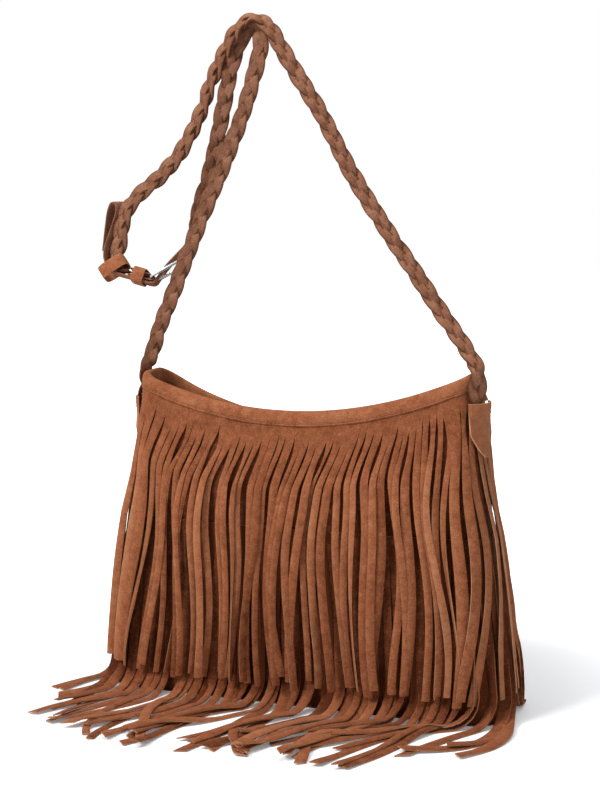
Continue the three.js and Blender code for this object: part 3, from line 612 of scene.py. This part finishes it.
# The binding's section, out from the wall and up from the rim: turned under, over the edge and down inside.
BINDING_ROLL = [(0.9, -11.0), (3.1, -11.2), (3.5, -10.2), (2.7, -STITCH_DROP), (3.2, -7), (3.2, -4),
                (2.8, -1.6), (2.1, 0.2), (1.0, 1.3), (-0.8, 1.7), (-2.6, 1.3), (-3.8, 0.2), (-4.25, -1.2),
                (-4.3, -6), (-4.2, -12.2), (-2.6, -12.2), (-2.55, -1.0), (-2.0, 0.3), (-0.8, 0.5), (0.5, 0.3),
                (0.95, -1.0)]
binding_girths = np.linspace(-HALF_GIRTH, HALF_GIRTH, 361)[:-1]
binding_points, binding_tones = [], []
for girth in binding_girths:
    lap = LAP_LIFT * smoothstep(girth, LAP_GIRTH - 0.6, LAP_GIRTH + 0.6)
    lap *= 1 - smoothstep(girth, LAP_GIRTH + 9, LAP_GIRTH + 16)
    pucker = 0.22 * math.sin(girth / 2.6) + 0.3 * math.sin(girth / 9.3 + 1)
    for out, rise in BINDING_ROLL:
        soft = lap + pucker * (0.3 + 0.7 * smoothstep(-rise, 6, 10)) if out > 0.9 else 0.0
        binding_points.append(wall_point(girth, rim_height(girth) + rise, out + soft))
        # The turned-under lower edge and the stitch groove are painted darker: painted shade in the fold and the
        # groove.
        crease_shade = 0.25 * (rise < -10.9) + 0.12 * (rise == -STITCH_DROP)
        binding_tones.append(0.03 + 0.03 * math.sin(girth / 21) - crease_shade)
binding_faces = ring_faces(len(binding_girths), len(BINDING_ROLL), closed=True)
binding = new_piece("suede_rim_binding", binding_points, binding_faces, [suede], binding_tones)
face_outwards(binding)
settle(binding, ["rim_binding"], angle=60)

thread, thread_tree, thread_shader, thread_place = new_finish("waxed_polyester_thread")
# Twisted plies, drawn 0.5 mm apart, with a slight wax gloss.
ply = add_node(thread_tree, "ShaderNodeTexNoise", {"Vector": thread_place, "Scale": 1 / 0.0005, "Detail": 2.0})
colour_between(thread_tree, thread_shader, ply.outputs[0], "6b3c24", "94603f")
thread_shader.inputs["Roughness"].default_value = 0.6


# Short raised stitches, each a bar with rounded ends, in one piece.
def make_stitches(name, places, ways, normals, length, width, height):
    rings = [(-0.5, 0.35), (-0.28, 0.9), (0.28, 0.9), (0.5, 0.35)]
    around = np.arange(6) * math.pi / 3
    points, faces = [], []
    for place, way, normal in zip(places, unit(ways), unit(normals)):
        side = np.cross(normal, way)
        start = len(points)
        for share, girth in rings:
            points += [place + way * length * share + side * width / 2 * girth * math.cos(turn)
                       + normal * height * girth * math.sin(turn) for turn in around]
        faces += [tuple(start + i for i in reversed(range(6))), tuple(start + 18 + i for i in range(6))]
        faces += ring_faces(len(rings), len(around), start=start)
    stitches = new_piece(name, points, faces, [thread])
    face_outwards(stitches)
    settle(stitches, angle=60)


def binding_stitch(girth):
    return wall_point(girth, rim_height(girth) - STITCH_DROP, 2.9)


stitch_girths = np.arange(-HALF_GIRTH, HALF_GIRTH, STITCH_PITCH)
make_stitches("binding_stitches", [binding_stitch(g) for g in stitch_girths],
              [binding_stitch(g + 1) - binding_stitch(g - 1) for g in stitch_girths],
              [np.cross(wall_side(g, 270), UP) for g in stitch_girths], 2.9, 0.8, 0.55)

# Lower fringe: on the front and on the back one suede panel is sewn on half way down and cut into strips. They
# hang to the floor, bend and trail on it, mostly to the left and away from the bag, over and under each other.
STRIP_PITCH = 7.4
FRINGE_THICKNESS = 1.1
LAYER = FRINGE_THICKNESS + 0.25
FLOOR_LAYER = FRINGE_THICKNESS + 0.2
LOWER_SEAM = 158.0
LOWER_YOKE = 12.0
LOWER_DROPS = np.concatenate([[0, 6, LOWER_YOKE], np.linspace(20, 132, 15)])
WALL_GAP = 0.9
TAIL_STEP = 6.0
SIDE_GAP = 0.4
FRINGE_SPANS = (("front", FRONT_SPAN[0] + SIDE_GAP, FRONT_SPAN[1] - SIDE_GAP, 1),
                ("back", BACK_SPAN[0] + SIDE_GAP, BACK_SPAN[1] - SIDE_GAP, -1))
CELL = 1.5


# What is already lying on a surface: the height of the topmost layer, on a fine grid.
class Pile:
    def __init__(self, low, high, start):
        self.low = np.array(low, float)
        self.top = np.full(tuple(np.ceil((np.array(high) - low) / CELL).astype(int) + 1), start)

    def cells(self, places):
        index = np.round((places - self.low) / CELL).astype(int)
        return tuple(np.clip(index[..., k], 0, self.top.shape[k] - 1) for k in range(2))

    # Lays a strip given by its two edges, and returns the height of each edge's underside.
    def lay(self, left, right, thickness, reach=2):
        heights = []
        for shares in ((0.0, 0.25, 0.5), (0.5, 0.75, 1.0)):
            spots = np.stack([left * (1 - s) + right * s for s in shares], 1)
            raw = self.top[self.cells(spots)].max(1)
            padded = np.pad(raw, 2 * reach, mode="edge")
            peak = np.array([padded[k:k + 2 * reach + 1].max() for k in range(len(raw) + 2 * reach)])
            heights.append(np.array([peak[k:k + 2 * reach + 1].mean() for k in range(len(raw))]))
        for s in np.linspace(0, 1, 9):
            edge = left * (1 - s) + right * s
            level = heights[0] * (1 - s) + heights[1] * s
            for t in (0.0, 0.25, 0.5, 0.75):
                spots = edge[:-1] * (1 - t) + edge[1:] * t
                where = self.cells(spots)
                np.maximum.at(self.top, where, level[:-1] * (1 - t) + level[1:] * t + thickness)
        return heights


wall_pile = Pile((-HALF_GIRTH - 60, 0), (3 * HALF_GIRTH + 60, 300), WALL_GAP)
floor_pile = Pile((-300, -220), (260, 220), 0.15)


# Where the panel is cut into strips, a little unevenly.
def cut_girths(low, high):
    widths = rng.uniform(0.8, 1.2, int((high - low) / STRIP_PITCH))
    return low + np.concatenate([[0], np.cumsum(widths)]) * (high - low) / widths.sum()


# Gives a sheet the hide's thickness, with a raw cut edge round it.
def thicken(sheet, thickness):
    work_on(sheet)
    hide = sheet.modifiers.new("hide_thickness", "SOLIDIFY")
    hide.thickness = thickness * MM
    hide.offset = 1.0
    hide.material_offset_rim = 1
    bpy.ops.object.modifier_apply(modifier="hide_thickness")


# Makes one panel of its strips: their edges joined where they are uncut, then the hide's thickness.
def fringe_piece(name, strips, tones, node):
    points, faces, shades = [], [], []
    for (left, middle, right), tone in zip(strips, tones):
        start = len(points)
        row_tones = np.broadcast_to(tone, len(left))
        # Below the yoke each strip is painted lighter along one edge and darker along the other: painted light
        # and shade across its curl.
        edges = 0.065 * smoothstep(np.arange(len(left)), 3, 15)
        for row in range(len(left)):
            points += [left[row], middle[row], right[row]]
            shades += [row_tones[row] + edges[row], row_tones[row], row_tones[row] - edges[row]]
        for row in range(len(left) - 1):
            a = start + 3 * row
            faces += [(a, a + 3, a + 4, a + 1), (a + 1, a + 4, a + 5, a + 2)]
    piece = new_piece(name, points, faces, [suede, cut_edge], shades)
    work_on(piece)
    bpy.ops.object.mode_set(mode="EDIT")
    bpy.ops.mesh.select_all(action="SELECT")
    bpy.ops.mesh.remove_doubles(threshold=0.00004)
    bpy.ops.object.mode_set(mode="OBJECT")
    thicken(piece, FRINGE_THICKNESS)
    settle(piece, [node], angle=65)


# The hanging part of a lower strip: its left edge, middle and right edge, row by row, and its curl.
def hang_lower_strip(left_cut, right_cut, i):
    sway = rng.normal(0, 2.4) + 2.0 * math.sin(i * 0.7)
    loose = smoothstep(LOWER_DROPS, LOWER_YOKE, 80)
    slit = 0.3 * (LOWER_DROPS > LOWER_YOKE + 0.5)
    left_girth, right_girth = left_cut + sway * loose + slit, right_cut + sway * loose - slit
    heights = LOWER_SEAM - LOWER_DROPS
    depths = wall_pile.lay(np.stack([left_girth, heights], 1), np.stack([right_girth, heights], 1), LAYER)
    free = smoothstep(LOWER_DROPS, LOWER_YOKE, 40)
    left_depth, right_depth = (WALL_GAP + (d - WALL_GAP) * free for d in depths)
    curl = rng.uniform(-0.5, 0.9) * free
    left = list(map(wall_point, left_girth, heights, left_depth))
    right = list(map(wall_point, right_girth, heights, right_depth))
    middle = list(map(wall_point, (left_girth + right_girth) / 2, heights,
                      (left_depth + right_depth) / 2 + curl))
    return left, middle, right, curl[-1]


# The way a tail takes over the floor: its length, the distances and directions along it, and how far it
# turns aside from the wall. A share of -1 is the bag's left end and 1 its right, and the back mirrors the front.
def tail_course(share, i, out, mirror):
    heading = 242 + 8 * smoothstep(-share, 0.5, 0.9) - 18 * smoothstep(share, 0.3, 0.85)
    trail_angle = math.radians(heading + rng.normal(0, 8) + 6 * math.sin(i * 0.8))
    length = 116 - 72 * smoothstep(-share, 0.5, 1) - 26 * smoothstep(share, 0.6, 1)
    length += float(np.clip(rng.normal(0, 7), -12, 10))
    if mirror < 0:
        length = max(8, length - 10 - 120 * smoothstep(abs(share), 0.5, 0.85))
    bowing = rng.normal(0.0032 - 0.0036 * smoothstep(share, 0.2, 0.6), 0.004)
    steps = np.arange(0, length, TAIL_STEP)
    off_wall = trail_angle - math.atan2(mirror * out[1], out[0])
    off_wall = math.atan2(math.sin(off_wall), math.cos(off_wall))
    turned_out = float(np.clip(off_wall, -1.4, 1.4)) - off_wall
    wander = rng.normal(0, 0.14) * np.sin(steps / 26 + rng.uniform(0, 6))
    angles = trail_angle + bowing * steps + wander + turned_out * (1 - smoothstep(steps, -20, 75))
    ways = np.stack([np.cos(angles), mirror * np.sin(angles), np.zeros(len(steps))], 1)
    return length, steps, ways, smoothstep(abs(off_wall), 0.6, 1.2)


# One lower strip: hanging, bent at the floor and trailing on it.
def lower_strip(left_cut, right_cut, share, i, mirror):
    left, middle, right, curl = hang_lower_strip(left_cut, right_cut, i)
    side = unit(right[-1] - left[-1])
    half = np.linalg.norm(right[-1] - left[-1]) / 2 * 1.1
    out = unit(np.cross(side, UP) * (1, 1, 0))
    length, steps, ways, turned = tail_course(share, i, out, mirror)
    lying_side = np.stack([-ways[:, 1], ways[:, 0], np.zeros(len(steps))], 1)
    lying_side *= np.sign(np.dot(np.cross(lying_side[0], UP), out))

    # A strip whose tail turns aside twists on its way down.
    for row in np.flatnonzero(LOWER_DROPS > 50):
        twisted = turned * smoothstep(LOWER_DROPS[row], 50, LOWER_DROPS[-1])
        across = unit(side * (1 - twisted) + lying_side[0] * twisted)
        reach = np.linalg.norm(right[row] - left[row]) / 2
        spot = (left[row] + right[row]) / 2 + out * reach * abs(np.dot(across, out))
        rise = middle[row] - (left[row] + right[row]) / 2
        left[row], middle[row], right[row] = spot - across * reach, spot + rise, spot + across * reach
    side = unit(right[-1] - left[-1])
    foot_point = (left[-1] + right[-1]) / 2
    bend = foot_point[2]
    fall = out * (0.5 - 0.5 * turned) + ways[0] * (0.5 + 0.5 * turned)
    lying = foot_point + bend * fall + np.concatenate([[np.zeros(3)], np.cumsum(ways[:-1] * TAIL_STEP, 0)])
    floor_left, floor_right = floor_pile.lay((lying - lying_side * half)[:, :2],
                                             (lying + lying_side * half)[:, :2], FLOOR_LAYER)

    # The tip curls up a little, rolls to one side and is cut off at a slant.
    tip = smoothstep(steps, length - 45, length)
    curl_up = min(5.0, max(0.0, rng.normal(-1.0, 4.0))) * tip**2
    roll = rng.normal(0, 1.2) * tip
    bias = np.where(steps > length - 7, rng.uniform(-4, 4), 0.0)

    # A quarter turn from hanging to lying, then the tail on the floor.
    for t in (0.22, 0.44, 0.66, 0.86):
        a = t * math.pi / 2
        spot = foot_point + bend * (1 - math.cos(a)) * fall
        spot[2] = bend * (1 - math.sin(a))
        across = unit(side * (1 - t) + lying_side[0] * t)
        left.append(spot - across * half + UP * floor_left[0] * t)
        right.append(spot + across * half + UP * floor_right[0] * t)
        middle.append((left[-1] + right[-1]) / 2 + (out * (1 - t) + UP * t) * curl * 0.6)
    left_level = floor_left + curl_up + np.maximum(0, roll)
    right_level = floor_right + curl_up + np.maximum(0, -roll)
    for k in range(len(steps)):
        spot = lying[k] * (1, 1, 0)
        left.append(spot - lying_side[k] * half + ways[k] * bias[k] + UP * left_level[k])
        right.append(spot + lying_side[k] * half - ways[k] * bias[k] + UP * right_level[k])
        middle.append((left[-1] + right[-1]) / 2 + UP * max(0.0, curl) * 0.6)
    return left, middle, right


# The strips are laid in a random order, so that each lies over some neighbours and under others.
def lower_strips(low, high, mirror):
    cuts = cut_girths(low, high)
    order = rng.permutation(len(cuts) - 1)
    strips, tones = [None] * len(order), [0.0] * len(order)
    for i in order:
        share = mirror * (((cuts[i] + cuts[i + 1]) / 2 - low) / (high - low) * 2 - 1)
        strips[i] = lower_strip(cuts[i], cuts[i + 1], share, i, mirror)
        # Each strip gets a random tone, a little dark on average, and its rows above the floor are painted
        # darker still: painted shade under the upper fringe.
        tones[i] = rng.normal(-0.08, 0.07) - 0.22 * smoothstep(np.array(strips[i][0])[:, 2], 4, 24)
    return strips, tones


for face, low, high, mirror in FRINGE_SPANS:
    strips, tones = lower_strips(low, high, mirror)
    fringe_piece("suede_lower_fringe_" + face, strips, tones, face + "_lower_fringe")

# Upper fringe: on each side one suede panel from the binding down, with a plain yoke. Below it slanting cuts
# turn into strips, which hang over the lower ones almost to the floor, sway, tilt and overlap.
YOKE_ROWS = np.array([0, 6, 12, 16, 20, 24, 28, 33, 40], float)
UPPER_ROWS = 28
HEM_HEIGHT = 23.0
UPPER_GAP = 1.0


def yoke_top(girth):
    return rim_height(girth) - BINDING_DROP + UPPER_GAP


# How far a cut slants at its top, at a place counted from the middle of the side.
def slant(place):
    return 15 * smoothstep(place, -188, -140) * (1 - smoothstep(place, 60, 130))


# One strip between two cuts, from the girths of the cuts, the rows where they begin and how far they open.
def upper_strip(cuts, slit_rows, open_gaps, middle_girth, i):
    hem = HEM_HEIGHT + rng.normal(0, 2.5)
    place = (cuts[0] + cuts[1]) / 2 - middle_girth
    held = smoothstep(abs(place), 145, 185)
    lean = rng.normal(0, 3.4 + 2.6 * smoothstep(place, -40, 60)) + 3.5 * math.sin(i * 0.37 + 1)
    lean *= 1 - 0.5 * held
    proud = rng.uniform(2.0, 8.0) * (1 - 0.85 * held)
    wave, swing_start = rng.normal(0, 2.0), rng.uniform(0, 6)
    flare = 2.0 * smoothstep(place, 150, 186)
    if rng.random() < 0.78:
        twist = rng.normal(0.4 - 0.75 * smoothstep(-place, 105, 150), 0.22)
    else:
        twist = rng.uniform(0.7, 1.3) * rng.choice((-1, 1))

    # Each edge follows its cut, and sways and draws back from it below the slit.
    girths, levels, ramps = [], [], []
    for cut, slit_row, gap, hand in zip(cuts, slit_rows, open_gaps, (1, -1)):
        slanted = slant(cut - middle_girth)
        top = yoke_top(cut + slanted)
        below_yoke = np.linspace(top - YOKE_ROWS[-1], hem, UPPER_ROWS + 1)[1:]
        heights = np.concatenate([top - YOKE_ROWS, below_yoke])
        drops = top - heights
        past_slit = np.arange(len(drops)) - slit_row
        ramp = smoothstep(past_slit, 0, 8)
        sway = lean * (drops / 230) ** 1.2 + wave * np.sin(drops / 42 + swing_start)
        sway += 4.5 * np.sin(drops / 46 + 2.6 * math.sin(i * 0.21 + 2)) * smoothstep(drops, 30, 120)
        opening = 0.5 * np.clip(past_slit / 2, 0, 1) + 0.3 * ramp + gap * np.exp(-((past_slit - 5) / 2.6) ** 2)
        girths.append(cut + slanted * (1 - smoothstep(drops, 4, 58)) ** 0.8 + sway * ramp
                      + hand * opening * (past_slit > 0))
        levels.append(heights)
        ramps.append(ramp)

    # The strip turns about its own length, lies on what is there already and stands off a little.
    centre, half = (girths[0] + girths[1]) / 2, (girths[1] - girths[0]) / 2
    drops = levels[0][0] - levels[0]
    turn = twist * np.minimum(*ramps) * (0.3 + 0.7 * smoothstep(drops, 60, 190))
    girths = [centre - half * np.cos(turn), centre + half * np.cos(turn)]
    depths = wall_pile.lay(*(np.stack([g, z], 1) for g, z in zip(girths, levels)), LAYER)
    loose = [smoothstep(np.arange(len(drops)), row, row + 5) for row in slit_rows]
    swing = half * np.abs(np.sin(turn))
    stand = proud * smoothstep(yoke_top(cuts[0]) - levels[0], 25, 90)
    stand += flare * smoothstep(240 - levels[0], 40, 220)
    depths = [UPPER_GAP + (depth - UPPER_GAP + stand + swing * (1 + hand * np.sign(turn))) * free
              for depth, free, hand in zip(depths, loose, (1, -1))]
    curl = rng.uniform(0.2, 1.3) * np.minimum(*loose)
    left, right = (list(map(wall_point, *edge)) for edge in zip(girths, levels, depths))
    middle = list(map(wall_point, (girths[0] + girths[1]) / 2, (levels[0] + levels[1]) / 2,
                      (depths[0] + depths[1]) / 2 + curl))
    return left, middle, right


# Towards the right, seen from its own side, the slits of a panel begin higher. Its ends are cut all the way.
def upper_strips(low, high):
    cuts = cut_girths(low, high)
    middle_girth = (low + high) / 2
    slit_rows = rng.integers(1, 5, len(cuts))
    open_gaps = np.maximum(0, rng.normal(0.3, 0.9, len(cuts)))
    slit_rows -= np.round(2.4 * smoothstep(cuts - middle_girth, 70, 120)).astype(int)
    slit_rows = np.maximum(slit_rows, 1)
    slit_rows[0] = slit_rows[-1] = 0
    order = rng.permutation(len(cuts) - 1)
    strips, tones = [None] * len(order), [0.0] * len(order)
    for i in order:
        pair = slice(i, i + 2)
        strips[i] = upper_strip(cuts[pair], slit_rows[pair], open_gaps[pair], middle_girth, i)
        row = np.arange(len(strips[i][0]))
        # The yoke rows are painted darker: painted shade under the binding. Below the slits each strip gets a
        # random tone of its own.
        tones[i] = -0.06 + (0.08 + rng.normal(0, 0.06)) * smoothstep(row, 3, 15)
    return strips, tones


for face, low, high, _ in FRINGE_SPANS:
    strips, tones = upper_strips(low, high)
    fringe_piece("suede_upper_fringe_" + face, strips, tones, face + "_upper_fringe")

# Strap tabs: a pointed suede patch at each end of the bag. It covers the plait's sewn end and is stitched
# round its edge. The right one sits towards the front.
TAB_WIDTH, TAB_HEIGHT, TAB_POINT = 30.0, 46.0, 20.0
TAB_THICKNESS = 2.0
TAB_FLATNESS = 0.3
TAB_ROWS, TAB_COLUMNS = 24, 12
TAB_STITCH_PITCH = 3.6
TAB_STITCH_INSET = 2.2


def make_tab(name, girth, top, stand, node):
    drops = np.linspace(0, TAB_HEIGHT, TAB_ROWS + 1)
    half = TAB_WIDTH / 2 * np.sqrt(np.clip((TAB_HEIGHT - drops) / TAB_POINT, 0.012, 1)) ** 1.35

    # A point of the tab, which bulges at its top over the plait.
    def spot(across, drop):
        lift = stand + 6.0 * (1 - smoothstep(drop, 0, 20)) * (1 - (across / (TAB_WIDTH / 2 + 1)) ** 2) ** 0.8
        curved = wall_point(girth + across, top - drop, lift)
        flat = wall_point(girth, top - drop, lift) + wall_side(girth, top - drop) * across
        return curved * (1 - TAB_FLATNESS) + flat * TAB_FLATNESS

    points = [spot(h * c, d) for d, h in zip(drops, half) for c in np.linspace(-1, 1, TAB_COLUMNS + 1)]
    corners = [r * (TAB_COLUMNS + 1) + c for r in range(TAB_ROWS) for c in range(TAB_COLUMNS)]
    faces = [(a, a + TAB_COLUMNS + 1, a + TAB_COLUMNS + 2, a + 1) for a in corners]
    # The tab is painted a little lighter than the other suede: painted light on the proud tab.
    tab = new_piece(name, points, faces, [suede, cut_edge], np.full(len(points), 0.12))
    thicken(tab, TAB_THICKNESS)
    settle(tab, [node], angle=40)

    # The stitching runs down one side and up the other, inside the edge.
    seam = [(h - TAB_STITCH_INSET if h > 3 else 0.0, d)
            for d, h in zip(drops, half) if 1.5 < d < TAB_HEIGHT - 5]
    outline = [(-a, d, 0) for a, d in seam] + [(a, d, 0) for a, d in reversed(seam)]
    line, _, _ = smooth_route(outline, TAB_STITCH_PITCH)
    places = [spot(a, d) for a, d, _ in line]
    ways = np.gradient(np.array(places), axis=0)
    normals = np.array([np.cross(wall_side(girth + a, top - d), UP) for a, d, _ in line])
    places = [p + n * TAB_THICKNESS for p, n in zip(places, normals)]
    make_stitches(name + "_stitches", places, ways, normals, 2.6, 0.75, 0.5)


make_tab("suede_strap_tab_right", END_SEAM - 17, 272.0, 6.0, "right_strap_tab")
make_tab("suede_strap_tab_left", -END_SEAM, 262.0, 4.0, "left_strap_tab")

# Stage: a floor of white paper that runs on to a white backdrop. The light is broad and soft, from a large
# box at the left, a weaker one at the right and one overhead.
bpy.ops.object.select_all(action="DESELECT")
bpy.ops.mesh.primitive_plane_add(size=12, location=(0, 0, 0))
floor = bpy.context.active_object
floor.name = "studio_floor"
paper, paper_tree, paper_shader, paper_place = new_finish("white_studio_paper")
paper_shader.inputs["Base Color"].default_value = linear("f1f3f6")
paper_shader.inputs["Roughness"].default_value = 0.9
paper_shader.inputs["Emission Color"].default_value = (1, 1, 1, 1)
# Close to the bag the paper shows its own light and shadow, and it fades to clean white around that.
sight = add_node(paper_tree, "ShaderNodeLightPath")
distance = add_node(paper_tree, "ShaderNodeVectorMath", {0: paper_place}, operation="LENGTH")
fade_range = {"Value": distance.outputs["Value"], "From Min": 0.2, "From Max": 0.5, "To Min": 0.16}
fade = add_node(paper_tree, "ShaderNodeMapRange", fade_range, interpolation_type="SMOOTHSTEP")
glow = add_node(paper_tree, "ShaderNodeMath", {0: sight.outputs["Is Camera Ray"], 1: fade.outputs[0]},
                operation="MULTIPLY")
paper_tree.links.new(glow.outputs[0], paper_shader.inputs["Emission Strength"])
floor.data.materials.append(paper)

# The backdrop is white where it is seen or mirrored, and lights the bag only dimly.
world = bpy.data.worlds.new("white_studio")
bpy.context.scene.world = world
world.use_nodes = True
sky = world.node_tree
path = add_node(sky, "ShaderNodeLightPath")
seen = path.outputs["Is Camera Ray"]
for ray in ("Is Glossy Ray", "Is Transmission Ray"):
    seen = add_node(sky, "ShaderNodeMath", {0: seen, 1: path.outputs[ray]}, operation="MAXIMUM").outputs[0]
level = add_node(sky, "ShaderNodeMapRange", {"Value": seen, "To Min": 0.13, "To Max": 1.0})
sky.nodes["Background"].inputs["Color"].default_value = (1, 1, 1, 1)
sky.links.new(level.outputs[0], sky.nodes["Background"].inputs["Strength"])

SOFTBOXES = (("key_softbox", (-1.1, -1.5, 1.7), 0.8, 51.0), ("fill_softbox", (1.7, -1.2, 0.9), 1.4, 9.0),
             ("top_softbox", (0.1, -0.1, 2.1), 1.4, 26.0))
for name, place, size, power in SOFTBOXES:
    lamp = bpy.data.lights.new(name, "AREA")
    lamp.size = size
    lamp.energy = power
    light = bpy.data.objects.new(name, lamp)
    light.location = place
    light.rotation_euler = (Vector((0, 0, 0.2)) - Vector(place)).to_track_quat("-Z", "Y").to_euler()
    bpy.context.collection.objects.link(light)
bpy.context.scene.view_settings.view_transform = "Standard"
